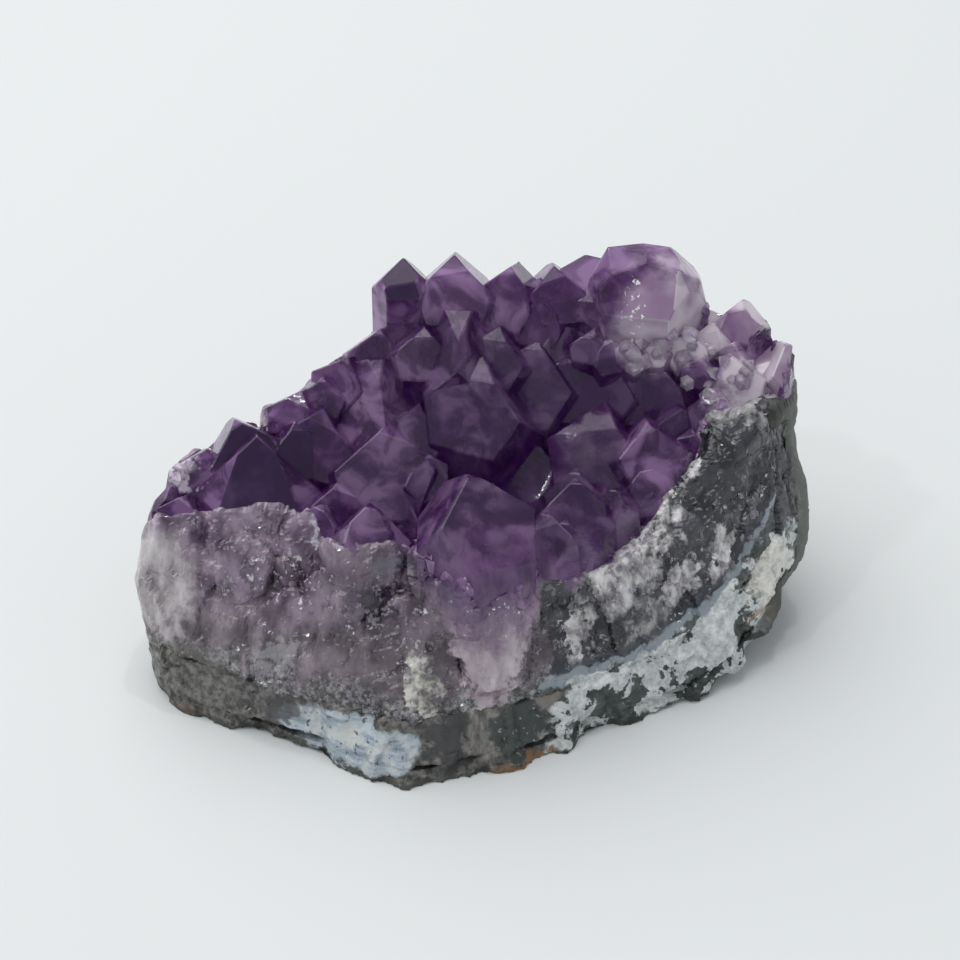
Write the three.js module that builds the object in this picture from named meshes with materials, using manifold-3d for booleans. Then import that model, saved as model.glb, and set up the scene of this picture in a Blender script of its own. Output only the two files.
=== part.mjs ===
// An amethyst cluster: a hand-sized fragment broken out of the wall of a geode.
//
// The wall grew in four layers, one on the other, and the fragment shows all of them:
//   basalt_rind        the thin dark skin that the geode grew against, under, behind and right of the rest
//   agate_band         blue-white and dark green banded chalcedony
//   quartz_layer       milky to smoky quartz, broken through at the front and the left
//   amethyst_crystals  the druse of purple points, grown together in one solid, which lines a shallow bowl
//
// Millimetres, +Z up, +X to the right and +Y to the back. The origin is on the resting face.

import * as THREE from "three";
import { mergeVertices } from "three/addons/utils/BufferGeometryUtils.js";
import Module from "manifold-3d";

const wasm = await Module();
wasm.setup();

// ---------------------------------------------------------------- driving dimensions

const GAP = 0.3; // between one layer and the next
const LEVELS = [0, 9, 20, 32]; // the heights of the four outlines below; straight up from the last
const BLOCK_HEIGHT = 60; // above every crystal

// A layer is what is left when the block is pushed this far off its outer skin, towards the broken corner.
const RIND_THICK = [-1.6, -1.2, 2.0];
const AGATE_THICK = [-5, -2.6, 8.5];

const BOWL_CENTRE = [8, 7];
const BOWL_REACH = [44, 24]; // from its centre to its rim, along X and Y
const BOWL_FLOOR = 14.5;
const RIM_HEIGHT = 25.5; // over the origin, and it climbs to the right and the back
const RIM_SLOPE = [0.13, 0.33];
const DRUSE_BED = 2; // the crystals' grown-together feet

// The right end broke along a slope that bears no crystals. It climbs to the back, and ends there.
const SLOPE_HEIGHT = 29; // over the origin
const SLOPE_CLIMB = 0.9;
const SLOPE_INNER_EDGE = 26.5; // along X, and the edge runs to the right as it goes back
const SLOPE_EDGE_SLANT = 0.65;
const SLOPE_BACK = [10, 14]; // along Y, where it gives way to crystals

const UNDERSIDE_FROM = 32; // right of this the skin curves up off the surface
const UNDERSIDE_RISE = 9;
const FOOT_INSET = 0.7; // where the flat of the foot ends, as a share of the way out to its edge

// The edge of the fragment seen from above, going round: [x, y] at each of the four levels, foot to crown.
const EDGE = [
  [[-45, -14], [-47, -11], [-49, -6], [-45, -4]], // left end
  [[-34, -20], [-34, -18], [-35, -13], [-34, -9]],
  [[-22, -26], [-23, -23], [-23, -17], [-23, -12]],
  [[-10, -32], [-10, -27], [-10, -20], [-10, -14]], // front corner
  [[2, -29], [2, -25], [2, -19], [2, -14]],
  [[13, -25], [12, -21], [12, -15], [11, -11]],
  [[20, -20], [21, -17], [21, -12], [20, -7]],
  [[31, -16], [33, -12], [33, -6], [31, -1]],
  [[42, -7], [44, -4], [43, 0], [40, 5]],
  [[45, 2], [50, 3], [50, 9], [47, 14]], // right end
  [[41, 14], [47, 16], [49, 17], [46, 21]],
  [[34, 25], [38, 28], [39, 29], [36, 28]],
  [[18, 31], [19, 34], [21, 35], [21, 33]], // back
  [[0, 29], [-1, 32], [-1, 33], [-1, 31]],
  [[-15, 22], [-16, 25], [-17, 27], [-13, 27]],
  [[-27, 14], [-28, 16], [-28, 18], [-24, 16]],
  [[-39, 7], [-41, 9], [-41, 10], [-37, 8]],
  [[-46, -4], [-48, -2], [-49, 0], [-44, 2]],
];
const COLUMNS = 54; // round the edge
const ROWS = 7; // up the wall
const WALL_STEPS = 1.1; // how far the broken wall steps in and out, from one splinter to the next
const OVERHANG = 1.06; // the crystals stand out this much past the wall

// Quartz ends in six faces that each lean this far off its length.
const FACE_LEAN = THREE.MathUtils.degToRad(38.2);
const UNEVEN = 0.14; // the most that an end face stands back by chance, as a share of the width

// The crystals that show, one line each: x, y and z of the tip, the width over the flats, the direction
// that the crystal leans in and how far it leans, the turn about its own length, all in degrees, and how
// far its three lesser end faces stand back, as a share of its width. Its length follows where it is not
// the usual one, and then how far below the tip it was broken off.
const CRYSTALS = [
  // front row, from the left
  [-42, -3.5, 31, 8, 20, 8, 10, 0.3],
  [-39, 3, 33.5, 9, 350, 12, 25, 0.1],
  [-38, -3.5, 29, 5, 60, 10, 0, 0.2],
  [-35, 5, 37, 12, 200, 8, 50, 0.2],
  [-15, -8.5, 33.5, 12.5, 70, 14, 40, 0.12],
  [-22.5, -6, 31, 9, 60, 10, 15, 0.2],
  [-10.5, -11, 28.5, 8, 90, 10, 30, 0.15],
  [10.5, -10.5, 33.5, 9, 100, 16, 20, 0.2],
  [14.5, -3.5, 33.5, 13, 110, 8, 30, 0.12],
  [20.5, -2, 31, 7, 120, 12, 0, 0.2],
  [26, 6, 36, 12, 220, 10, 35, 0.3],
  // the bowl
  [-13, 7, 34.5, 17, 20, 6, 35, 0.3],
  [-8, 5.5, 31, 9, 10, 4, 65, 0.4],
  [-8.5, 12, 34.5, 12, 320, 10, 20, 0.3],
  [1.5, 14.5, 40.5, 18, 280, 4, 10, 0.3],
  [9.5, 19, 41, 15, 270, 4, 10, 0.3],
  [15.5, 18.5, 39.5, 13, 250, 6, 25, 0.3],
  [21.5, 17, 38, 10, 250, 8, 0, 0.35],
  [27.5, 17.5, 39.5, 14.5, 240, 10, 20, 0.2],
  [30, 12.5, 35, 12, 220, 10, 45, 0.35],
  [19, 11.5, 33.5, 16.5, 240, 5, 12, 0.35],
  [9, 10.5, 29, 12, 0, 3, 20, 0.3],
  [3, 5, 26.5, 9, 60, 4, 0, 0.2],
  [15.5, 5, 28.5, 11, 120, 4, 20, 0.25],
  [25.5, 3, 31, 10, 170, 6, 40, 0.2],
  [-22, 9, 35.5, 13, 340, 10, 20, 0.3],
  [-26, 7, 35, 10, 350, 8, 50, 0.2],
  [-15, 15.5, 40, 17, 320, 8, 102, 0.3],
  // left rim
  [-26, 12, 37.5, 9, 310, 10, 10, 0.15],
  [-22, 14.5, 38.5, 8, 300, 10, 30, 0.2],
  [-19, 17, 40.5, 10, 300, 8, 0, 0.2],
  [-14.5, 20.5, 42.5, 9, 300, 6, 20, 0.15],
  // back rim
  [-10.3, 26, 52, 8.6, 280, 2, 30, 0.1, 25, 1.6],
  [-6, 25.5, 48, 8, 280, 5, 40, 0.2],
  [-2.5, 27, 51, 14, 275, 4, 28, 0.2],
  [-3.5, 23.5, 47, 10, 270, 12, 0, 0.15],
  [5, 26, 50, 11.5, 270, 5, 15, 0.2],
  [9.5, 25.5, 48.5, 7, 270, 4, 0, 0.2],
  [13, 26, 50, 11, 260, 6, 35, 0.2],
  [18, 26.5, 52, 12, 260, 6, 8, 0.1, 26, 3.5],
  [-1.5, 20.5, 46, 17, 280, 6, 88, 0.3],
  [4, 20, 43.5, 12, 270, 6, 10, 0.25],
  [-7, 19.5, 44, 11, 300, 8, 30, 0.2],
  [10, 23, 46.5, 9, 260, 10, 20, 0.2],
  [13, 21.5, 44, 8, 260, 12, 50, 0.2],
  [17.5, 19, 44, 7, 250, 12, 10, 0.15],
  [20, 18, 43, 7, 250, 12, 40, 0.2],
  // right rim
  [23.5, 17, 43.5, 6, 250, 16, 0, 0.3],
  [27, 17, 43.5, 5, 250, 14, 20, 0.2],
  [32, 18.5, 44, 8, 240, 12, 30, 0.15],
  [33.5, 15, 41.5, 6, 230, 14, 0, 0.3],
  [35.5, 21, 43, 9, 230, 5, 20, 0.12],
  [38.5, 18.5, 42, 6, 220, 8, 0, 0.2],
  [38.5, 15.5, 42, 10, 210, 8, 35, 0.15],
  [35.5, 11.5, 38, 8, 200, 10, 0, 0.2],
  [41, 16, 38.5, 8, 200, 6, 20, 0.2],
  [43.5, 13, 36.5, 6, 190, 6, 0, 0.2],
];

// The sharpest one, at the left, whose faces meet in a true point.
const SHARP_CRYSTAL = [-31.4, 1.5, 38.2, 21, 350, 4, 36, 0.07];

// This one stands proud of the wall at the front corner. The last value is its length.
const PROUD_CRYSTAL = [0.5, -9, 39, 17, 90, 13, 60, 0.2, 24];

// Its root, broken through with the wall, runs down over the quartz: the root's ends and half-widths.
const ROOT_TOP = [1.5, -11, 25];
const ROOT_FOOT = [3, -21.5, 10.5];
const ROOT_WIDTH = [9.5, 5];

// The largest crystal of all, at the back, is broken down to a rounded stump.
const STUMP = [25.4, 24.5, 58.5, 16.5, 250, 4, 20, 0.1];
const STUMP_CENTRE = [25.4, 23.6, 45];
const STUMP_REACH = [10, 9.4, 10.2];

const SMALL_SPACING = 9; // between the small crystals that fill what the others leave
const SMALL_WIDTH = [7, 12];
const SMALL_RISE = [6, 9.5]; // of their tips, over the quartz
const SMALL_LEAN = 16; // towards the middle of the bowl, at its rim
const CRYSTAL_LENGTH = 26;

// ---------------------------------------------------------------- working with solids

// Evenly spread numbers from 0 to 1 that are the same on every run.
function randomFrom(seed) {
  let state = seed;
  return () => {
    state = (state * 1664525 + 1013904223) % 4294967296;
    return state / 4294967296;
  };
}

function bareOf(geometry) {
  const bare = geometry.clone();
  bare.deleteAttribute("normal");
  bare.deleteAttribute("uv");
  return bare;
}

function solidOf(geometry) {
  const merged = mergeVertices(bareOf(geometry), 1e-4);
  return new wasm.Manifold(
    new wasm.Mesh({
      numProp: 3,
      vertProperties: new Float32Array(merged.attributes.position.array),
      triVerts: new Uint32Array(merged.index.array),
    }),
  );
}

function geometryOf(solid) {
  const mesh = solid.getMesh();
  const geometry = new THREE.BufferGeometry();
  geometry.setAttribute("position", new THREE.BufferAttribute(mesh.vertProperties, 3));
  geometry.setIndex(new THREE.BufferAttribute(mesh.triVerts, 1));
  geometry.computeVertexNormals();
  return geometry;
}

// The largest body of a solid, without the crumbs that a cut leaves.
function mainBody(solid) {
  return solid.decompose().reduce((most, body) => (body.volume() > most.volume() ? body : most));
}

function mixed(range, share) {
  return THREE.MathUtils.lerp(range[0], range[1], share);
}

// ---------------------------------------------------------------- the fragment's outer shape

const outlines = LEVELS.map(
  (height, level) =>
    new THREE.CatmullRomCurve3(
      EDGE.map((post) => new THREE.Vector3(post[level][0], post[level][1], height)),
      true,
      "centripetal",
    ),
);

function undersideAt(x) {
  const along = Math.max(0, x - UNDERSIDE_FROM) / (50 - UNDERSIDE_FROM);
  return UNDERSIDE_RISE * along ** 1.5;
}

// A point of the wall before it splinters, by the share of the way round and the height.
function wallPoint(share, height) {
  const posts = outlines.map((curve) => curve.getPoint(share));
  let level = 0;
  while (level < LEVELS.length - 2 && height > LEVELS[level + 1]) {
    level += 1;
  }
  const up = (height - LEVELS[level]) / (LEVELS[level + 1] - LEVELS[level]);
  const point = posts[level].lerp(posts[level + 1], Math.min(1, up));
  point.z = height + undersideAt(point.x) * Math.max(0, 1 - height / LEVELS[1]);
  return point;
}

// One ring of the wall, splintered by chance.
function wallRing(height, chance) {
  const ring = [];
  for (let column = 0; column < COLUMNS; column++) {
    const point = wallPoint(column / COLUMNS, height);
    const step = 1 + (WALL_STEPS * (chance() - 0.5)) / Math.hypot(point.x, point.y);
    ring.push(new THREE.Vector3(point.x * step, point.y * step, point.z));
  }
  return ring;
}

// The whole block: the wall in rings, closed by an inset ring and a fan at its foot and a fan at its top.
function fragmentBlock() {
  const chance = randomFrom(3);
  const rings = [];
  for (let row = 0; row < ROWS; row++) {
    rings.push(wallRing((LEVELS[3] * row) / (ROWS - 1), chance));
  }
  rings.push(wallRing(BLOCK_HEIGHT, chance));
  rings.unshift(rings[0].map(({ x, y }) => new THREE.Vector3(x, y, 0).multiplyScalar(FOOT_INSET)));
  rings[0].forEach((point) => point.setZ(undersideAt(point.x)));
  const points = rings.flat().flatMap((point) => point.toArray());
  const footCentre = points.length / 3;
  points.push(0, 0, 0, 0, 0, BLOCK_HEIGHT);
  const triangles = [];
  const top = (rings.length - 1) * COLUMNS;
  for (let column = 0; column < COLUMNS; column++) {
    const next = (column + 1) % COLUMNS;
    triangles.push(footCentre, next, column);
    triangles.push(footCentre + 1, top + column, top + next);
    for (let low = 0; low < top; low += COLUMNS) {
      const high = low + COLUMNS;
      triangles.push(low + column, low + next, high + next, low + column, high + next, high + column);
    }
  }
  const geometry = new THREE.BufferGeometry();
  geometry.setAttribute("position", new THREE.Float32BufferAttribute(points, 3));
  geometry.setIndex(triangles);
  return solidOf(geometry);
}

// ---------------------------------------------------------------- the bowl

// How much this place belongs to the bare slope, from 0 to 1.
function slopeAt(x, y) {
  const inside = x - SLOPE_INNER_EDGE - SLOPE_EDGE_SLANT * y;
  const front = 1 - THREE.MathUtils.smoothstep(y, ...SLOPE_BACK);
  return THREE.MathUtils.smoothstep(inside, -1, 4) * front;
}

// The height of the quartz here: a bowl whose rim climbs to the back, and the slope at its right end.
function bowlAt(x, y) {
  const across = (x - BOWL_CENTRE[0]) / BOWL_REACH[0];
  const deep = (y - BOWL_CENTRE[1]) / BOWL_REACH[1];
  const out = THREE.MathUtils.smoothstep(Math.hypot(across, deep), 0.1, 1.05);
  const rim = RIM_HEIGHT + RIM_SLOPE[0] * x + RIM_SLOPE[1] * y;
  const ripple = 0.8 * Math.sin(x * 0.31 + 1) * Math.cos(y * 0.37);
  const bowl = THREE.MathUtils.lerp(BOWL_FLOOR, rim, out) + ripple;
  const slope = SLOPE_HEIGHT + SLOPE_CLIMB * y;
  return THREE.MathUtils.lerp(bowl, Math.max(bowl, slope), slopeAt(x, y));
}

// Everything under the quartz's upper face, or under a face so much higher, but lower again on the slope.
function underBowl(raised, bare = 0) {
  const box = new THREE.BoxGeometry(120, 92, 2, 24, 20, 1);
  const place = box.attributes.position;
  for (let i = 0; i < place.count; i++) {
    const [x, y] = [place.getX(i), place.getY(i)];
    const upper = bowlAt(x, y) + raised - bare * slopeAt(x, y);
    place.setZ(i, place.getZ(i) > 0 ? upper : -10);
  }
  return solidOf(box);
}

// ---------------------------------------------------------------- crystals

// One quartz point with its tip at the origin, its length down -Z: a six-sided prism, cut by three great
// and three lesser end faces. No two grow quite alike, so each face stands back a little by chance.
function quartzPoint(width, length, turn, lesser, chance) {
  const prism = new THREE.CylinderGeometry(width / Math.sqrt(3), width / Math.sqrt(3), length, 6, 1);
  prism.rotateX(Math.PI / 2).translate(0, 0, -length / 2 + 0.2 * width);
  let solid = solidOf(prism);
  for (let face = 0; face < 6; face++) {
    const round = (face * Math.PI) / 3;
    const back = width * ((face % 2 ? lesser : 0) + UNEVEN * chance());
    const flat = Math.cos(FACE_LEAN);
    const inward = [-flat * Math.cos(round), -flat * Math.sin(round), -Math.sin(FACE_LEAN)];
    solid = solid.trimByPlane(inward, -back * flat);
  }
  return solid.rotate([0, 0, turn]);
}

// A crystal in its place, leaning by so many degrees towards a compass direction.
function grown([x, y, z, width, towards, lean, turn, lesser, length = CRYSTAL_LENGTH, broken = 0], chance) {
  return quartzPoint(width, length, turn - towards, lesser, chance)
    .trimByPlane([-0.2, 0.15, -1], broken)
    .rotate([0, lean, 0])
    .rotate([0, 0, towards])
    .translate([x, y, z]);
}

// The largest crystal: its corners are broken off all round, so that it ends in a fractured lump.
function stumpSolid(chance) {
  const lump = mergeVertices(bareOf(new THREE.IcosahedronGeometry(1, 1)), 1e-4);
  const place = lump.attributes.position;
  for (let i = 0; i < place.count; i++) {
    const out = 1 + 0.16 * (chance() - 0.5);
    const [a, b, c] = STUMP_REACH.map((reach) => reach * out);
    place.setXYZ(i, place.getX(i) * a, place.getY(i) * b, place.getZ(i) * c);
  }
  lump.translate(...STUMP_CENTRE);
  return solidOf(lump).intersect(grown(STUMP, chance));
}

// The root: a seven-sided splinter that tapers downwards.
function rootSolid(margin) {
  const top = new THREE.Vector3(...ROOT_TOP);
  const foot = new THREE.Vector3(...ROOT_FOOT);
  const [wide, narrow] = ROOT_WIDTH;
  const length = top.distanceTo(foot) + 2 * margin;
  const splinter = new THREE.CylinderGeometry(wide + margin, narrow + margin, length, 7, 1);
  const along = new THREE.Quaternion();
  along.setFromUnitVectors(new THREE.Vector3(0, 1, 0), top.clone().sub(foot).normalize());
  splinter.applyQuaternion(along);
  splinter.translate(...top.add(foot).multiplyScalar(0.5).toArray());
  return solidOf(splinter);
}

function smallCrystals(chance) {
  const rows = [];
  const pitch = SMALL_SPACING * Math.sin(Math.PI / 3);
  for (let row = -5; row <= 5; row++) {
    for (let column = -6; column <= 6; column++) {
      const x = (column + (row % 2 ? 0.5 : 0)) * SMALL_SPACING + 3 * (chance() - 0.5);
      const y = row * pitch + 3 * (chance() - 0.5);
      const inward = [BOWL_CENTRE[0] - x, BOWL_CENTRE[1] - y];
      const out = Math.min(1, Math.hypot(inward[0] / BOWL_REACH[0], inward[1] / BOWL_REACH[1]));
      const towards = THREE.MathUtils.radToDeg(Math.atan2(inward[1], inward[0]));
      const tip = bowlAt(x, y) + mixed(SMALL_RISE, chance());
      const lean = SMALL_LEAN * out + 6 * (chance() - 0.5);
      rows.push([x, y, tip, mixed(SMALL_WIDTH, chance()), towards, lean, 60 * chance(), 0.2]);
    }
  }
  const all = rows.map((row) => grown(row, chance));
  return all.filter((_, i) => slopeAt(rows[i][0], rows[i][1]) < 0.3);
}

// ---------------------------------------------------------------- the four layers

const block = fragmentBlock();
const chance = randomFrom(7);

const proud = [grown(PROUD_CRYSTAL, chance), rootSolid(0)];
const [x, y, z, width, towards, lean, turn, lesser, length] = PROUD_CRYSTAL;
const roomRow = [x, y, z + 2 * GAP, width + 4 * GAP, towards, lean, turn, lesser, length + 4 * GAP];
const room = grown(roomRow, () => 0.5).add(rootSolid(GAP));

function pushedOff([dx, dy, dz], gap) {
  return block.translate([dx - gap, dy - gap, dz + gap]);
}

const matrix = block.intersect(underBowl(0)).subtract(room);
const overRind = pushedOff(RIND_THICK, 0);
const overAgate = pushedOff(AGATE_THICK, 0);
const rind = mainBody(matrix.subtract(overRind));
const inside = matrix.intersect(overRind).intersect(pushedOff(RIND_THICK, GAP));
const agate = mainBody(inside.subtract(overAgate));
const quartz = mainBody(inside.intersect(overAgate).intersect(pushedOff(AGATE_THICK, GAP)));

const points = CRYSTALS.map((row) => grown(row, chance));
points.push(grown(SHARP_CRYSTAL, () => 0), stumpSolid(chance));
const small = smallCrystals(chance);
const filling = wasm.Manifold.union([underBowl(DRUSE_BED, DRUSE_BED), ...small]).intersect(block);
const standing = wasm.Manifold.union(points).intersect(block.scale([OVERHANG, OVERHANG, 1]));
const overQuartz = wasm.Manifold.union([filling, standing]).subtract(underBowl(GAP));
const druse = mainBody(wasm.Manifold.union([overQuartz, ...proud]));

// ---------------------------------------------------------------- the part

function matt(color, roughness) {
  return new THREE.MeshStandardMaterial({ color, roughness, metalness: 0, flatShading: true });
}

const LAYERS = {
  basalt_rind: [rind, matt(0x4a4d42, 0.9)],
  agate_band: [agate, matt(0x8f9ba3, 0.45)],
  quartz_layer: [quartz, matt(0x857c88, 0.35)],
  amethyst_crystals: [druse, matt(0x54356b, 0.12)],
};

const cluster = new THREE.Group();
for (const [name, [solid, material]] of Object.entries(LAYERS)) {
  const mesh = new THREE.Mesh(geometryOf(solid), material);
  mesh.name = name;
  cluster.add(mesh);
}

// The origin goes to the middle of the whole, on the surface that it rests on.
const whole = new THREE.Box3().setFromObject(cluster);
const middle = whole.getCenter(new THREE.Vector3());
cluster.position.set(-middle.x, -middle.y, -whole.min.z);

export default cluster;
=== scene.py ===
"""An amethyst cluster: a broken piece of a geode's wall, with a bowl of purple points on top of it."""

import bmesh
import bpy
import math
import random
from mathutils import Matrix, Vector, noise
from mathutils.bvhtree import BVHTree


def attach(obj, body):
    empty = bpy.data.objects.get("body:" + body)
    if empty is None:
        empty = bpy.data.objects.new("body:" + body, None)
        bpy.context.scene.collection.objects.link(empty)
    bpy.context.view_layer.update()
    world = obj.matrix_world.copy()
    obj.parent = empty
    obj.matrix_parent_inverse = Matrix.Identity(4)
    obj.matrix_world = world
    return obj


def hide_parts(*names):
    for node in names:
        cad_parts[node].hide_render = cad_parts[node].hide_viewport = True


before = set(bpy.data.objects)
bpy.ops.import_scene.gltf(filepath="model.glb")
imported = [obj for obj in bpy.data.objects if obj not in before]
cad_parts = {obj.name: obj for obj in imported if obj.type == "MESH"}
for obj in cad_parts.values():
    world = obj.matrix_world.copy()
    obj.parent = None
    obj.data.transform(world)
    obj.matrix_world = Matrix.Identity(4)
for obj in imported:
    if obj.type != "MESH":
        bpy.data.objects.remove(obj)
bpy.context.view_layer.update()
MM = 0.001

# ---------------------------------------------------------------- camera, table and light
# A plain pale table, one broad soft light over the piece and to its left, and a small hard one that
# wakes the glints. The camera looks down on the broken front corner.

CAMERA_AT = Vector((0.6, -315.3, 294.4)) * MM
CAMERA_DIPS = 40
CAMERA_LENS = 104.8

camera = bpy.data.objects.new("camera", bpy.data.cameras.new("camera"))
camera.location = CAMERA_AT
camera.rotation_euler = (math.radians(90 - CAMERA_DIPS), 0, 0)
camera.data.lens = CAMERA_LENS
camera.data.clip_start = 0.01
bpy.context.collection.objects.link(camera)
bpy.context.scene.camera = camera
bpy.context.scene.view_settings.view_transform = "Standard"

floor_mesh = bpy.data.meshes.new("table")
floor_mesh.from_pydata([(-3, -3, 0), (3, -3, 0), (3, 3, 0), (-3, 3, 0)], [], [(0, 1, 2, 3)])
floor = bpy.data.objects.new("table", floor_mesh)
bpy.context.collection.objects.link(floor)
floor_paint = bpy.data.materials.new("table_paint")
floor_paint.use_nodes = True
floor_shader = floor_paint.node_tree.nodes["Principled BSDF"]
floor_shader.inputs["Base Color"].default_value = (0.775, 0.80, 0.803, 1)
floor_shader.inputs["Roughness"].default_value = 0.7
floor_mesh.materials.append(floor_paint)


def add_light(name, at, size, watts, color):
    lamp = bpy.data.lights.new(name, "AREA")
    lamp.shape = "DISK"
    lamp.size = size
    lamp.energy = watts
    lamp.color = color
    light = bpy.data.objects.new(name, lamp)
    light.location = at
    light.rotation_euler = (Vector((0, 0, 0.02)) - light.location).to_track_quat("-Z", "Y").to_euler()
    bpy.context.collection.objects.link(light)


add_light("broad_light", Vector((-0.6, 0.6, 1.35)), 2.3, 21.0, (1.0, 0.99, 0.975))
add_light("spark_light", Vector((0.12, 0.25, 1.1)), 0.05, 0.8, (1.0, 1.0, 1.0))
add_light("side_spark_light", Vector((-0.5, -0.3, 0.9)), 0.05, 0.6, (1.0, 1.0, 1.0))

world = bpy.data.worlds.new("room")
world.use_nodes = True
world.node_tree.nodes["Background"].inputs["Color"].default_value = (0.93, 0.96, 1.0, 1)
world.node_tree.nodes["Background"].inputs["Strength"].default_value = 0.47
bpy.context.scene.world = world

# ---------------------------------------------------------------- basalt rind
# The thin skin of altered lava that the geode grew against: dull dark green to olive brown, crumbly, and
# rusty where its lower edge broke. It lies under the piece and climbs its right end and its back.


class Field:
    """A socket of the node tree in hand, which sums and products can be written with."""

    tree = None

    def __init__(self, socket):
        self.socket = socket

    @classmethod
    def make(cls, kind, settings=None, inputs=None, output=0):
        """Adds a node: its settings first, then the values or links of its sockets."""
        node = cls.tree.nodes.new(kind)
        for name, value in (settings or {}).items():
            setattr(node, name, value)
        for name, value in (inputs or {}).items():
            if isinstance(value, Field):
                cls.tree.links.new(value.socket, node.inputs[name])
            else:
                node.inputs[name].default_value = value
        return cls(node.outputs[output])

    def sibling(self, output):
        """Another output of the same node."""
        return Field(self.socket.node.outputs[output])

    def math(self, operation, other=0.0, turned=False):
        pair = (other, self) if turned else (self, other)
        return Field.make("ShaderNodeMath", {"operation": operation}, dict(enumerate(pair)))

    def __add__(self, other):
        return self.math("ADD", other)

    __radd__ = __add__

    def __mul__(self, other):
        return self.math("MULTIPLY", other)

    __rmul__ = __mul__

    def __sub__(self, other):
        return self.math("SUBTRACT", other)

    def __rsub__(self, other):
        return self.math("SUBTRACT", other, turned=True)

    def __truediv__(self, other):
        return self.math("DIVIDE", other)

    def __pow__(self, other):
        return self.math("POWER", other)

    def vector(self, operation, other, output=0):
        return Field.make("ShaderNodeVectorMath", {"operation": operation}, {0: self, 1: other}, output)

    def rises(self, low, high):
        """0 below low, 1 above high, and smooth between them. With high under low it falls instead."""
        inputs = {"Value": self, "From Min": low, "From Max": high}
        return Field.make("ShaderNodeMapRange", {"interpolation_type": "SMOOTHSTEP"}, inputs)

    def blend(self, without, within):
        """A colour: without where this is 0, within where it is 1."""
        return Field.make("ShaderNodeMix", {"data_type": "RGBA"}, {0: self, 6: without, 7: within}, 2)


def cloud(at, size, detail=3, roughness=0.55, twist=0.0):
    """Soft blotches of about this size in mm, from 0 to 1."""
    inputs = {"Vector": at, "Scale": 1 / (size * MM), "Detail": detail, "Roughness": roughness}
    inputs["Distortion"] = twist
    return Field.make("ShaderNodeTexNoise", {"normalize": True}, inputs)


def chips(at, size):
    """Flat chips of about this size in mm: a height of about -0.5 to 0.5 that tilts its own way on each."""
    settings = {"feature": "F1"}
    inputs = {"Vector": at, "Scale": 1 / (size * MM), "Randomness": 1.0}
    tilt = Field.make("ShaderNodeTexVoronoi", settings, inputs, "Color").vector("SUBTRACT", (0.5, 0.5, 0.5))
    seed = Field.make("ShaderNodeTexVoronoi", settings, inputs, "Position")
    return at.vector("SUBTRACT", seed).vector("DOT_PRODUCT", tilt, "Value") * (1.2 / (size * MM))


def stirred(at, size, reach):
    """The same places pushed about by up to half this reach, so that what is painted there is ragged."""
    inputs = {"Vector": at, "Scale": 1 / (size * MM), "Detail": 4, "Roughness": 0.6}
    noise_color = Field.make("ShaderNodeTexNoise", {"normalize": True}, inputs, "Color")
    push = noise_color.vector("SUBTRACT", (0.5, 0.5, 0.5)).vector("MULTIPLY", (reach * MM,) * 3)
    return at.vector("ADD", push)


def spot(at, centre, reach, soft=0.5):
    """1 inside an oval spot at this place, 0 outside it, with its centre and half-widths in mm."""
    off = at.vector("SUBTRACT", tuple(c * MM for c in centre)).vector("DIVIDE", tuple(w * MM for w in reach))
    return off.vector("DOT_PRODUCT", off, "Value").rises(1 + soft, 1 - soft)


def specks_and_glints(at, size, share):
    """Small bright specks of about this size in mm, 1 on this share of them and 0 elsewhere: real pale specks
    in the agate, painted glints on the wall and the lump.
    """
    settings = {"feature": "F1", "distance": "MANHATTAN"}
    inputs = {"Vector": stirred(at, size, size * 2.5), "Scale": 1 / (size * MM), "Randomness": 1.0}
    lot = Field.make("ShaderNodeTexVoronoi", settings, inputs, "Color")
    lot = Field.make("ShaderNodeSeparateXYZ", {}, {0: lot}, 0)
    near = Field.make("ShaderNodeTexVoronoi", settings, inputs, "Distance").rises(0.55, 0.40)
    return lot.math("GREATER_THAN", 1 - share) * near


def new_tree(name, sizes):
    """A Geometry Nodes tree with a mesh in, a mesh out and these named sizes and materials as inputs."""
    tree = bpy.data.node_groups.new(name, "GeometryNodeTree")
    tree.interface.new_socket("Geometry", in_out="INPUT", socket_type="NodeSocketGeometry")
    tree.interface.new_socket("Geometry", in_out="OUTPUT", socket_type="NodeSocketGeometry")
    for size_name, kind in sizes.items():
        tree.interface.new_socket(size_name, in_out="INPUT", socket_type=kind)
    Field.tree = tree
    given = tree.nodes.new("NodeGroupInput")
    return tree, {socket.name: Field(socket) for socket in given.outputs if socket.name}


def end_tree(tree, geometry, material):
    """Closes a tree with Realize Instances and Set Material."""
    real = Field.make("GeometryNodeRealizeInstances", {}, {"Geometry": geometry})
    painted = Field.make("GeometryNodeSetMaterial", {}, {"Geometry": real, "Material": material})
    result = tree.nodes.new("NodeGroupOutput")
    tree.links.new(painted.socket, result.inputs["Geometry"])


def grow(name, start, tree, values):
    """Runs a tree on a mesh, and returns the plain object that it gives."""
    carrier = bpy.data.objects.new(name + "_start", start)
    bpy.context.collection.objects.link(carrier)
    modifier = carrier.modifiers.new("grow", "NODES")
    modifier.node_group = tree
    for item in tree.interface.items_tree:
        if item.in_out == "INPUT" and item.name in values:
            modifier[item.identifier] = values[item.name]
    evaluated = carrier.evaluated_get(bpy.context.evaluated_depsgraph_get())
    mesh = bpy.data.meshes.new_from_object(evaluated)
    mesh.name = name
    bpy.data.objects.remove(carrier)
    piece = bpy.data.objects.new(name, mesh)
    bpy.context.collection.objects.link(piece)
    return piece


def merged_copy(node):
    """A CAD node's mesh with its corners joined."""
    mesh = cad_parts[node].data.copy()
    form = bmesh.new()
    form.from_mesh(mesh)
    bmesh.ops.remove_doubles(form, verts=form.verts, dist=2e-6)
    form.to_mesh(mesh)
    form.free()
    mesh.materials.clear()
    return mesh


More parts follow.
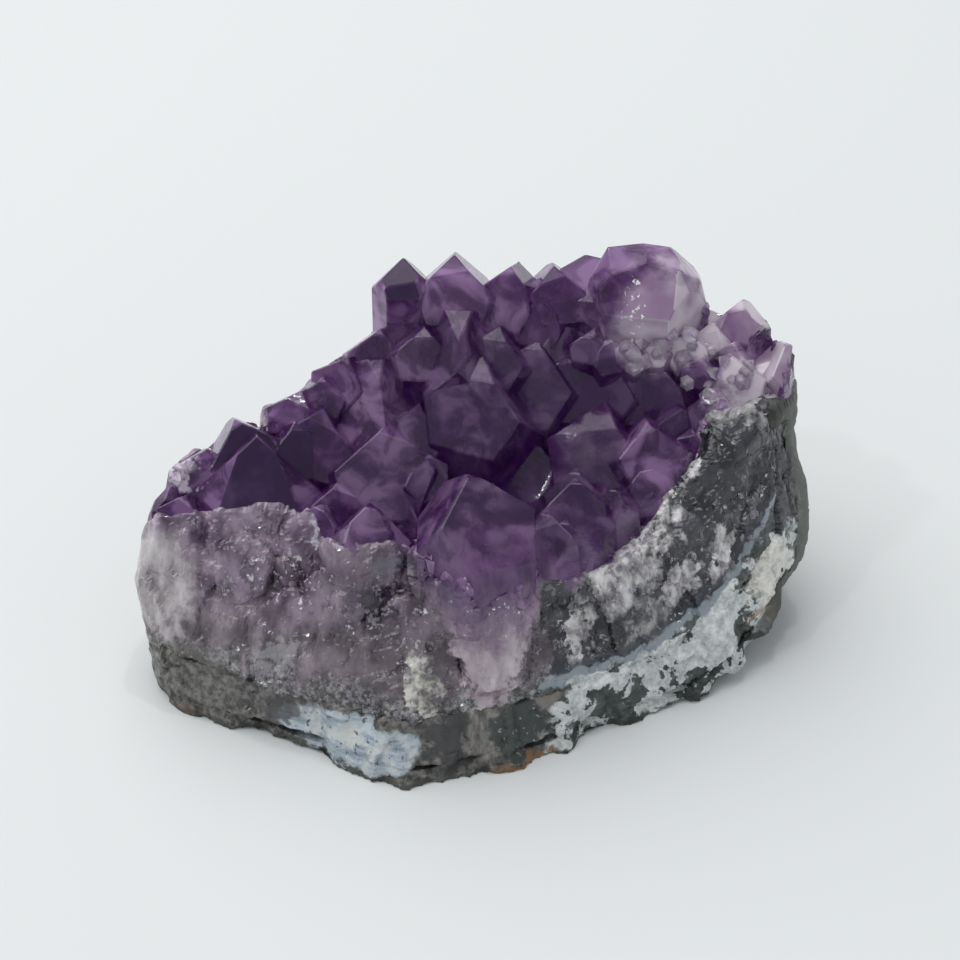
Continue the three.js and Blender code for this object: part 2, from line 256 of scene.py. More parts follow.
def remeshed(mesh, grid):
    """The same body in small even faces, about as wide as the grid in mm."""
    carrier = bpy.data.objects.new("remesh", mesh)
    bpy.context.collection.objects.link(carrier)
    modifier = carrier.modifiers.new("remesh", "REMESH")
    modifier.mode = "VOXEL"
    modifier.voxel_size = grid * MM
    evaluated = carrier.evaluated_get(bpy.context.evaluated_depsgraph_get())
    fine = bpy.data.meshes.new_from_object(evaluated)
    bpy.data.objects.remove(carrier)
    return fine


def broken_surface_tree():
    """Breaks a smooth body up: it swells a little, then chips, splinters and grains move its skin."""
    sizes = {"Swell": "NodeSocketFloat", "Big chip": "NodeSocketFloat", "Small chip": "NodeSocketFloat"}
    sizes |= {"Grain": "NodeSocketFloat", "Hollows": "NodeSocketFloat", "Lobes": "NodeSocketFloat"}
    sizes |= {"Material": "NodeSocketMaterial"}
    tree, given = new_tree("broken_surface", sizes)
    at = Field.make("GeometryNodeInputPosition")
    tall = at.vector("MULTIPLY", (1.0, 1.0, 0.6))
    relief = chips(tall, 7.0) * given["Big chip"] + chips(tall, 2.4) * given["Small chip"]
    relief = relief + (cloud(at, 1.3, 4) - 0.5) * given["Grain"]
    relief = relief - cloud(at, 9.0, 2).rises(0.5, 0.72) * given["Hollows"]
    lobes = cloud(at.vector("MULTIPLY", (1.0, 1.0, 0.3)), 7.0, 1).rises(0.35, 0.6) - 0.6
    relief = relief + lobes * given["Lobes"]
    push = (relief + given["Swell"]) * MM
    normal = Field.make("GeometryNodeInputNormal")
    offset = Field.make("ShaderNodeVectorMath", {"operation": "SCALE"}, {0: normal, "Scale": push})
    moved = Field.make("GeometryNodeSetPosition", {}, {"Geometry": given["Geometry"], "Offset": offset})
    parts = Field.make("ShaderNodeSeparateXYZ", {}, {0: at}, 2)
    lifted = Field.make("ShaderNodeCombineXYZ", {}, {2: parts.math("MAXIMUM", 0.0) - parts})
    flat = Field.make("GeometryNodeSetPosition", {}, {"Geometry": moved, "Offset": lifted})
    end_tree(tree, flat, given["Material"])
    return tree


broken_surface = broken_surface_tree()


def new_material(name):
    """An empty material whose tree is the one in hand, and the place of a point in it, in metres."""
    material = bpy.data.materials.new(name)
    material.use_nodes = True
    material.node_tree.nodes.clear()
    Field.tree = material.node_tree
    return material, Field.make("ShaderNodeTexCoord", {}, {}, "Object")


def end_material(shader, volume=None):
    result = Field.tree.nodes.new("ShaderNodeOutputMaterial")
    Field.tree.links.new(shader.socket, result.inputs["Surface"])
    if volume:
        Field.tree.links.new(volume.socket, result.inputs["Volume"])


def axis(at, index):
    """A coordinate of the place, in mm."""
    return Field.make("ShaderNodeSeparateXYZ", {}, {0: at}, index) * (1 / MM)


def bumped(height, depth):
    """The surface's direction when a height from 0 to 1 stands for this many mm."""
    return Field.make("ShaderNodeBump", {}, {"Height": height, "Distance": depth * MM, "Strength": 1.0})


def green_agate(at):
    """The agate's mottled right-hand half: pale celadon and dark green clouds with pale seams between."""
    ragged = stirred(at, 3.5, 9.0)
    patch = cloud(ragged, 6.5, 2, 0.5)
    dark = patch.rises(0.45, 0.53)
    fine = cloud(at, 1.5, 5, 0.65)
    celadon = fine.rises(0.3, 0.7).blend((0.42, 0.46, 0.46, 1), (0.93, 0.96, 0.94, 1))
    green = fine.rises(0.35, 0.75).blend((0.018, 0.026, 0.024, 1), (0.13, 0.15, 0.14, 1))
    seam = (patch - 0.49).math("ABSOLUTE").rises(0.03, 0.0) * 0.7
    return seam.blend(dark.blend(celadon, green), (0.84, 0.88, 0.88, 1))


def agate_color(at):
    """The agate's bands and clouds. Where the rind broke off with it, they run on over its lip."""
    ragged = stirred(at, 3.0, 9.0)
    fine = cloud(at, 1.2, 5, 0.65)
    color = fine.rises(0.35, 0.7).blend((0.042, 0.042, 0.038, 1), (0.27, 0.262, 0.245, 1))
    layers = cloud(at.vector("MULTIPLY", (0.12, 0.12, 1.0)), 0.9, 4, 0.6)
    blue = layers.rises(0.35, 0.65).blend((0.26, 0.32, 0.39, 1), (0.58, 0.66, 0.71, 1))
    blue = cloud(at, 3.5, 3).rises(0.45, 0.6).blend(blue, (0.68, 0.71, 0.70, 1))
    calm = stirred(at, 3.0, 4.0)
    lens = spot(calm, (-19.0, -28, 4.2), (11.8, 9, 4.4), 0.12)
    color = lens.blend(color, blue)
    # Small dark spots over the blue lens: painted shade in its pits.
    pit_shade = cloud(at, 1.0, 2).rises(0.63, 0.68)
    color = (pit_shade * lens * 0.85).blend(color, (0.06, 0.075, 0.09, 1))
    # A dark patch at the agate's front left: a painted shadow in a gap there.
    gap_shadow = spot(ragged, (-28.5, -24, 5.5), (2.4, 4, 2.4), 0.5) * 0.8
    color = gap_shadow.blend(color, (0.055, 0.052, 0.056, 1))
    streak = cloud(at.vector("MULTIPLY", (1.0, 1.0, 0.25)), 1.3, 4)
    smoky = streak.blend((0.018, 0.018, 0.020, 1), (0.085, 0.084, 0.082, 1))
    color = spot(ragged, (-3.4, -29.5, 6.0), (3.4, 6, 5), 0.4).blend(color, smoky)
    brown = streak.rises(0.3, 0.7).blend((0.07, 0.065, 0.06, 1), (0.37, 0.35, 0.32, 1))
    color = spot(ragged, (1.2, -28, 6.0), (2.6, 6, 5), 0.5).blend(color, brown)
    dull = fine.blend((0.022, 0.027, 0.026, 1), (0.085, 0.098, 0.092, 1))
    speckled = specks_and_glints(at, 0.7, 0.14).blend(dull, (0.4, 0.42, 0.41, 1))
    color = spot(ragged, (6.6, -26.5, 5.6), (4.2, 6, 4.8), 0.3).blend(color, speckled)
    color = axis(ragged, 0).rises(9.5, 12.0).blend(color, green_agate(at))
    color = spot(ragged, (10.4, -24, 8.6), (2.2, 5, 1.9), 0.4).blend(color, (0.25, 0.225, 0.20, 1))
    cream = fine.rises(0.3, 0.6).blend((0.48, 0.47, 0.43, 1), (0.90, 0.89, 0.83, 1))
    color = spot(ragged, (44.3, -3, 14.5), (4.4, 6, 4.6), 0.25).blend(color, cream)
    stained = spot(ragged, (44, -4, 9.8), (4.4, 6, 1.2), 0.6) * 0.7
    color = stained.blend(color, (0.36, 0.22, 0.11, 1))
    slate = fine.rises(0.35, 0.70).blend((0.016, 0.017, 0.024, 1), (0.14, 0.142, 0.155, 1))
    return axis(ragged, 2).rises(18.0, 20.5).blend(color, slate)


def basalt_material():
    material, at = new_material("basalt")
    x, y, z = (axis(at, i) for i in range(3))
    blotch = cloud(at, 5.0, 4)
    color = blotch.rises(0.35, 0.65).blend((0.030, 0.036, 0.030, 1), (0.105, 0.112, 0.095, 1))
    color = (x.rises(44.0, 49.0) * 0.8).blend(color, (0.21, 0.22, 0.20, 1))
    pale = cloud(at, 2.2, 5, 0.65).rises(0.56, 0.70)
    color = (pale * 0.8).blend(color, (0.27, 0.28, 0.25, 1))
    lip = y.rises(-5.0, -9.0) * axis(stirred(at, 2.5, 5.0), 2).rises(0.4, 1.2)
    color = lip.blend(color, agate_color(at))
    rust = spot(stirred(at, 2.0, 5.0), (6.5, -28.5, 0.5), (5.5, 6, 0.8))
    rust = rust + spot(at, (-43, -16, 1), (2, 4, 1)) * 0.4
    color = (rust * 0.8).blend(color, (0.30, 0.155, 0.07, 1))
    grain = cloud(at, 0.7, 5, 0.7)
    shader = Field.make(
        "ShaderNodeBsdfPrincipled",
        {},
        {"Base Color": color, "Roughness": 0.55 + 0.3 * grain, "Normal": bumped(grain, 0.4), "IOR": 1.55},
    )
    end_material(shader)
    return material


rind = grow(
    "basalt_skin",
    remeshed(merged_copy("basalt_rind"), 0.5),
    broken_surface,
    {"Swell": 0.5, "Big chip": 0.3, "Small chip": 0.2, "Grain": 0.3, "Hollows": 0.3, "Lobes": 1.8,
     "Material": basalt_material()},
)
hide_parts("basalt_rind")
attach(rind, "root")

# ---------------------------------------------------------------- agate band
# Chalcedony laid down on the rind in thin bands: blue-white and waxy at the front left, mottled pale
# green-grey and dark green to the right, with a cream lump at the right end.


def agate_material():
    material, at = new_material("agate")
    fine = cloud(at, 1.2, 5, 0.65)
    layers = cloud(at.vector("MULTIPLY", (0.12, 0.12, 1.0)), 0.9, 4, 0.6)
    shader = Field.make(
        "ShaderNodeBsdfPrincipled",
        {},
        {
            "Base Color": agate_color(at),
            "Roughness": 0.30 + 0.35 * fine,
            "Normal": bumped(fine * 0.7 + layers * 0.3, 0.4),
            "IOR": 1.54,
            "Subsurface Weight": 0.15,
            "Subsurface Radius": (0.0015, 0.0015, 0.0015),
            "Coat Weight": 0.25,
            "Coat Roughness": 0.12,
        },
    )
    end_material(shader)
    return material


agate = grow(
    "agate_layer",
    remeshed(merged_copy("agate_band"), 0.45),
    broken_surface,
    {"Swell": 0.8, "Big chip": 0.9, "Small chip": 0.5, "Grain": 0.35, "Hollows": 0.6, "Lobes": 1.2,
     "Material": agate_material()},
)
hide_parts("agate_band")
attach(agate, "root")

# ---------------------------------------------------------------- quartz layer
# Coarse quartz under the amethyst, broken straight through: lilac-grey and milky on the left, smoky blue
# slate with frosty white patches on the right.


def root_color(at, ragged):
    """The largest front crystal's root: purple at its top and pinkish-lilac at its foot."""
    z = axis(ragged, 2)
    streak = cloud(at.vector("MULTIPLY", (1.0, 1.0, 0.3)), 3.0, 5, 0.6).rises(0.3, 0.7)
    upper = streak.blend((0.055, 0.018, 0.082, 1), (0.17, 0.085, 0.20, 1))
    middle = streak.blend((0.20, 0.125, 0.21, 1), (0.38, 0.29, 0.38, 1))
    foot = streak.blend((0.44, 0.36, 0.41, 1), (0.70, 0.62, 0.66, 1))
    return z.rises(15.5, 22.0).blend(foot, z.rises(20.0, 27.5).blend(middle, upper))


def left_wall(at, ragged, over_quartz):
    """Violet and glassy under the rim, mauve-grey below it, milky at the left end, gritty over the agate."""
    z = axis(ragged, 2)
    streak = cloud(at.vector("MULTIPLY", (1.0, 1.0, 0.4)), 3.0, 3, 0.5)
    blotch = cloud(at, 6.0, 3, 0.5)
    mixed = (streak + blotch) * 0.5
    violet = mixed.rises(0.36, 0.64).blend((0.080, 0.042, 0.092, 1), (0.40, 0.31, 0.41, 1))
    mauve = mixed.rises(0.36, 0.64).blend((0.072, 0.052, 0.064, 1), (0.33, 0.275, 0.31, 1))
    color = over_quartz.rises(-2.0, 6.0).blend(mauve, violet)
    color = (axis(ragged, 0).rises(-28.0, -14.0) * 0.45).blend(color, (0.050, 0.036, 0.046, 1))
    grit = cloud(at, 1.1, 5, 0.75)
    grit = grit.rises(0.40, 0.68).blend((0.018, 0.018, 0.019, 1), (0.48, 0.475, 0.48, 1))
    color = (z.rises(14.0, 9.5) * 0.9).blend(color, grit)
    olive = mixed.rises(0.3, 0.7).blend((0.040, 0.038, 0.030, 1), (0.25, 0.235, 0.21, 1))
    color = spot(ragged, (-42, -15, 5.0), (8.5, 7, 6.2), 0.4).blend(color, olive)
    milky = streak.rises(0.3, 0.7).blend((0.33, 0.29, 0.31, 1), (0.68, 0.635, 0.65, 1))
    color = (spot(ragged, (-46.5, -9, 19.5), (6.5, 9, 8.0), 0.5) * 0.9).blend(color, milky)
    pale_chip = spot(ragged, (-30, -20, 13.2), (2.2, 4, 1.9), 0.5) * 0.7
    color = pale_chip.blend(color, (0.38, 0.37, 0.39, 1))
    pale_chip = spot(ragged, (-26.8, -20.5, 14.8), (1.9, 4, 2.0), 0.5) * 0.7
    color = pale_chip.blend(color, (0.42, 0.40, 0.43, 1))
    column = cloud(at, 1.5, 4).rises(0.35, 0.65).blend((0.16, 0.155, 0.135, 1), (0.80, 0.78, 0.72, 1))
    color = spot(ragged, (-7.8, -26, 12.0), (2.2, 5, 5.4), 0.4).blend(color, column)
    # A dark pocket under the glassy lip: painted shade.
    pocket_shade = spot(ragged, (-14.5, -18.5, 22.3), (3.8, 4, 3.2), 0.5) * 0.85
    color = pocket_shade.blend(color, (0.024, 0.012, 0.028, 1))
    calm = stirred(at, 4.0, 3.0)
    glassy = spot(calm, (-12.5, -17, 28.2), (3.4, 4, 1.3), 0.4) * 0.45
    color = glassy.blend(color, (0.20, 0.205, 0.27, 1))
    # A bright line along the glassy lip's rim: a painted highlight.
    lip_highlight = spot(calm, (-14, -17.5, 25.0), (4.6, 5, 2.4), 0.12)
    lip_highlight = (lip_highlight - spot(calm, (-14, -17.5, 24.6), (4.6, 5, 2.4), 0.12)).math("MAXIMUM", 0.0)
    color = (lip_highlight * streak.rises(0.45, 0.6)).blend(color, (0.58, 0.56, 0.62, 1))
    flake = spot(ragged, (-22.8, -10.3, 29.0), (1.0, 2, 2.2), 0.3) * 0.6
    color = flake.blend(color, (0.50, 0.50, 0.58, 1))
    taper = axis(ragged, 0) - 2.2
    taper = taper.math("ABSOLUTE") - (z - 9.5) * 0.5
    inside = taper.rises(2.2, 0.6) * z.rises(8.0, 10.5) * axis(at, 1).rises(-11.0, -14.0)
    return inside.blend(color, root_color(at, ragged))


def patches(at, places):
    """The sum of spots at these places: the centre and half-widths of each in mm, and how strong it is."""
    total = spot(at, *places[0][:2]) * places[0][2]
    for centre, reach, strength in places[1:]:
        total = total + spot(at, centre, reach) * strength
    return total


# Where the right wall is frosted: the centre and half-widths of each patch, and how strong it is.
FROSTED = [
    ((20.5, -11, 23.5), (5.5, 8, 7.0), 1), ((26, -5, 27.0), (3.5, 7, 4.0), 1),
    ((14.4, -17.6, 16.2), (1.4, 6, 4.5), 1), ((26.4, -13, 14.5), (3.0, 6, 3.2), 0.6),
    ((30.3, -9.3, 18.4), (3.0, 5, 2.4), 1), ((36.3, -5, 20.5), (1.8, 6, 4.4), 1),
    ((30.5, 2, 31), (1.8, 4, 3.0), 1), ((37, 8, 37), (7.0, 4, 2.0), 0.5),
]


def right_wall(at, ragged):
    """Blue-black smoky quartz with ragged white frost, over a pale ribbon and the agate's mottling."""
    calm = stirred(at, 6.0, 5.0)
    x, z = axis(calm, 0), axis(calm, 2)
    blotch = cloud(at.vector("MULTIPLY", (1.0, 1.0, 0.45)), 2.4, 5, 0.65)
    slate = cloud(at, 4.0, 4, 0.55).rises(0.36, 0.66)
    slate = slate.blend((0.009, 0.010, 0.015, 1), (0.056, 0.058, 0.070, 1))
    flecks = cloud(at.vector("MULTIPLY", (1.3, 1.3, 0.7)), 3.0, 5, 0.65, 0.8).rises(0.60, 0.65)
    slate = (flecks * 0.5).blend(slate, (0.28, 0.28, 0.29, 1))
    frost = blotch.rises(0.30, 0.64).blend((0.10, 0.095, 0.105, 1), (0.88, 0.86, 0.86, 1))
    color = (patches(ragged, FROSTED).math("MINIMUM", 1.0) * 0.95).blend(slate, frost)
    climb = ((x - 14.0).math("MAXIMUM", 0.0) * 0.04) ** 3
    over_ribbon = z - (10.6 + climb * 7.5)
    color = over_ribbon.rises(0.6, -0.4).blend(color, green_agate(at))
    line = over_ribbon.math("ABSOLUTE")
    seam = (line - 1.3).math("ABSOLUTE").rises(0.9, 0.2) * over_ribbon.rises(0.0, 0.5) * 0.8
    color = seam.blend(color, (0.025, 0.035, 0.055, 1))
    return line.rises(0.9, 0.4).blend(color, (0.30, 0.35, 0.39, 1))


def quartz_material():
    material, at = new_material("milky_quartz")
    over = Field.make("ShaderNodeAttribute", {"attribute_name": "over_quartz"}, {}, "Fac")
    ragged = stirred(at, 3.0, 11.0)
    color = axis(ragged, 0).rises(9.5, 11.0).blend(left_wall(at, ragged, over), right_wall(at, ragged))
    white = cloud(at.vector("ADD", (0.2, 0.7, 0.1)), 1.6, 5, 0.7).rises(0.60, 0.66)
    color = (white * 0.45).blend(color, (0.60, 0.58, 0.61, 1))
    covered = Field.make("ShaderNodeAttribute", {"attribute_name": "covered"}, {}, "Fac")
    deep = cloud(at, 5.0, 4, 0.6).rises(0.35, 0.65).blend((0.12, 0.03, 0.17, 1), (0.60, 0.38, 0.68, 1))
    color = covered.blend(color, deep)
    # Clusters of white specks painted into the base colour: painted glints on the broken wall.
    swarm = cloud(at.vector("ADD", (0.5, 0.1, 0.3)), 5.0, 3, 0.6).rises(0.58, 0.66)
    swarm = swarm + patches(ragged, [((-28, -14, 24), (6, 6, 3), 0.7), ((-11, -23, 17), (3, 6, 3), 0.6)])
    spark = (specks_and_glints(at, 0.7, 0.3) + specks_and_glints(at, 1.2, 0.16)) * swarm
    color = (spark.math("MINIMUM", 1.0) * (1 - covered)).blend(color, (0.92, 0.91, 0.94, 1))
    glassy = cloud(at, 5.0, 3).rises(0.42, 0.62)
    relief = chips(at, 0.9) * (glassy * 0.8 + 0.2) + cloud(at, 0.5, 4, 0.6) * 0.2
    shader = Field.make(
        "ShaderNodeBsdfPrincipled",
        {},
        {
            "Base Color": color,
            "Roughness": 0.05 + 0.3 * cloud(at, 2.0, 4, 0.6) ** 2,
            "Normal": bumped(relief, 0.5),
            "IOR": 1.54,
            "Subsurface Weight": 0.25,
            "Subsurface Radius": (0.0025, 0.0022, 0.0025),
            "Coat Weight": 0.5,
            "Coat Roughness": 0.06,
        },
    )
    end_material(shader)
    return material


QUARTZ_SINKS = 0.9  # under the crystals, in mm, so that it doesn't show through them
QUARTZ_CLOSES = 0.8  # up to them along their outer edge, in mm


def search_tree(node):
    """A CAD node's faces, ready for rays."""
    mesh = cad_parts[node].data
    corners = [vertex.co.copy() for vertex in mesh.vertices]
    return BVHTree.FromPolygons(corners, [tuple(face.vertices) for face in mesh.polygons])


quartz_top = search_tree("quartz_layer")
druse_foot = search_tree("amethyst_crystals")


def under_druse(place, outwards):
    """Whether the crystals rest on the quartz here, or at this many times the distance from the middle."""
    start = Vector((place.x * outwards, place.y * outwards, place.z - 0.6 * MM))
    return druse_foot.ray_cast(start, Vector((0, 0, 1)), (1.4 if outwards == 1 else 6) * MM)[0] is not None


def top_under(x, y):
    """The height of the quartz's upper face here, in metres, or the nearest there is."""
    reach = 1.0
    while reach > 0.5:
        hit = quartz_top.ray_cast(Vector((x * reach, y * reach, 0.2)), Vector((0, 0, -1)))[0]
        if hit:
            return hit.z
        reach -= 0.02
    return 0.03


def mark_over_quartz(mesh):
    """Stores on each vertex how far it is above the quartz's upper face, in mm."""
    mark = mesh.attributes.new("over_quartz", "FLOAT", "POINT")
    for vertex in mesh.vertices:
        mark.data[vertex.index].value = (vertex.co.z - top_under(vertex.co.x, vertex.co.y)) / MM


quartz_shape = remeshed(merged_copy("quartz_layer"), 0.45)
mark_over_quartz(quartz_shape)
for vertex in quartz_shape.vertices:
    if under_druse(vertex.co, 1.0):
        vertex.co.z += (-QUARTZ_SINKS if under_druse(vertex.co, 1.05) else QUARTZ_CLOSES) * MM
wall_quartz = quartz_material()
quartz = grow(
    "quartz_body",
    quartz_shape,
    broken_surface,
    {"Swell": 0.8, "Big chip": 1.1, "Small chip": 0.5, "Grain": 0.25, "Hollows": 0.6, "Lobes": 0.0,
     "Material": wall_quartz},
)
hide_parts("quartz_layer")
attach(quartz, "root")

# ---------------------------------------------------------------- amethyst bed
# The grown-together feet of the points. Inside the bowl only their milky roots show; at the front they
# are broken through with the wall, and stand up to the rim as one glassy, pitted, lilac face. At the back
# a rough skin of them climbs the outer side of the rim's crystals.

BOWL = (7.5, 5.5), (44, 24)  # centre and half-widths, in mm
NOTCH = (-16, -9.5), (7.5, 6)  # where the front rim dips
ROOT = (2, -23), (11, 8)  # of the crystal at the front corner
BED_IN_BOWL = 1.0  # how far the bed stands over the quartz, in mm
BED_AT_FRONT = 10.5
BED_AT_BACK = 6.5
ROOT_TOP = 26.5  # over the table
COVERED_BACK = 0.3  # how purple the bed's skin is at the back
COVERED_RIGHT = 0.7  # and from this far to the right, in mm
RIGHT_FROM = 25


def far_out(place, oval):
    """How far out of an oval's centre a place is: 1 on its edge."""
    centre, reach = oval
    return math.hypot((place.x / MM - centre[0]) / reach[0], (place.y / MM - centre[1]) / reach[1])


def bed_rise(place):
    """How far the bed stands over the quartz here, in metres: low in the bowl, high at the front rim."""
    at_rim = min(1, max(0, (far_out(place, BOWL) - 0.78) / 0.17))
    front = min(1, max(0, (-3 - place.y / MM) / 4)) * min(1, max(0.15, (16 - place.x / MM) / 20))
    notch = min(1, far_out(place, NOTCH)) ** 2
    return (BED_IN_BOWL + BED_AT_FRONT * at_rim * front * notch) * MM


def on_outer_wall(place):
    """Whether nothing of the crystals stands further out than this place."""
    out = Vector((place.x, place.y, 0)).normalized()
    return druse_foot.ray_cast(place + out * 0.6 * MM, out, 60 * MM)[0] is None


bed_shape = remeshed(merged_copy("amethyst_crystals"), 0.5)
covered = bed_shape.attributes.new("covered", "FLOAT", "POINT")
for vertex in bed_shape.vertices:
    place = vertex.co
    limit = top_under(place.x, place.y) + bed_rise(place)
    limit += 0.9 * MM * noise.noise(place * 180)
    if far_out(place, ROOT) < 1:
        limit = (ROOT_TOP + 5.0 * noise.noise(place * 130) + 3.0 * noise.noise(place * 420)) * MM
    if place.y > 4 * MM and on_outer_wall(place):
        limit += (BED_AT_BACK + 2 * noise.noise(place * 120)) * MM
        covered.data[vertex.index].value = COVERED_BACK if place.x < RIGHT_FROM * MM else COVERED_RIGHT
    if place.z > limit:
        covered.data[vertex.index].value = min(1.0, (place.z - limit) / (3 * MM))
        place.z = limit + 0.02 * (place.z - limit)
mark_over_quartz(bed_shape)
bed = grow(
    "amethyst_bed",
    bed_shape,
    broken_surface,
    {"Swell": 0.7, "Big chip": 1.0, "Small chip": 0.45, "Grain": 0.2, "Hollows": 0.5, "Lobes": 0.0,
     "Material": wall_quartz},
)
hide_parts("amethyst_crystals")
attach(bed, "root")

# ---------------------------------------------------------------- amethyst points
# The crystals themselves: clear, purple and deepest at their tips, with flat bright faces and slightly
# blunted edges. Points that overlap are grown together, so they are one closed skin.

EDGE_ROUND = 0.2  # in mm
SHARP_EDGE = 14  # degrees; gentler ones stay as they are

# Faces darkened to nearly black as painted shade, by the middle of their crystal, how far from it they reach
# in mm, and which way they face.
SHADED = [
    ((-32, -3, 33), 9, (0.07, -0.78, 0.62)), ((-10.8, 24.5, 49), 6, (0, -0.3, 0.95)),
    ((-10.8, 21.5, 46), 6, (0, -0.84, 0.54)),
]


def crystal_shape():
    """The druse with its crystals' edges blunted. It knows how far each place is under its crystal's tip, a
    tone for each crystal and for each of its faces, and which faces get painted shade or are blunted edges."""
    mesh = merged_copy("amethyst_crystals")
    form = bmesh.new()
    form.from_mesh(mesh)
    bmesh.ops.dissolve_limit(form, angle_limit=math.radians(0.6), verts=form.verts, edges=form.edges)
    form.normal_update()
    crystal = form.faces.layers.int.new("crystal")
    facet = form.faces.layers.float.new("facet")
    shade = form.faces.layers.float.new("shade")
    count = 0
    for first in form.faces:
        first[facet] = random.Random(first.index * 7 + 5).random()
        middle = first.calc_center_median() / MM
        for centre, reach, facing in SHADED:
            if (middle - Vector(centre)).length < reach and first.normal.dot(Vector(facing)) > 0.9:
                first[shade] = 1.0
        if first[crystal]:
            continue
        count += 1
        first[crystal] = count
        pending = [first]
        while pending:
            face = pending.pop()
            for edge in face.edges:
                if len(edge.link_faces) == 2 and edge.calc_face_angle_signed(0) > -0.02:
                    for other in edge.link_faces:
                        if not other[crystal]:
                            other[crystal] = count
                            pending.append(other)
    tips = {}
    for face in form.faces:
        for vertex in face.verts:
            tips[face[crystal]] = max(tips.get(face[crystal], -1), vertex.co.z)
    paired = [edge for edge in form.edges if len(edge.link_faces) == 2]
    sharp = [edge for edge in paired if edge.calc_face_angle_signed(0) > math.radians(SHARP_EDGE)]
    edge_mark = form.faces.layers.float.new("edge")
    made = bmesh.ops.bevel(form, geom=sharp, offset=EDGE_ROUND * MM, segments=1, affect="EDGES")
    for face in made["faces"]:
        face[edge_mark] = 1.0
    bmesh.ops.triangulate(form, faces=form.faces)
    crystal = form.faces.layers.int["crystal"]
    down = form.loops.layers.float.new("down")
    tone = form.faces.layers.float.new("tone")
    for face in form.faces:
        face[tone] = random.Random(face[crystal]).random()
        for loop in face.loops:
            loop[down] = (tips.get(face[crystal], loop.vert.co.z) - loop.vert.co.z) / MM
    form.to_mesh(mesh)
    form.free()
    return mesh


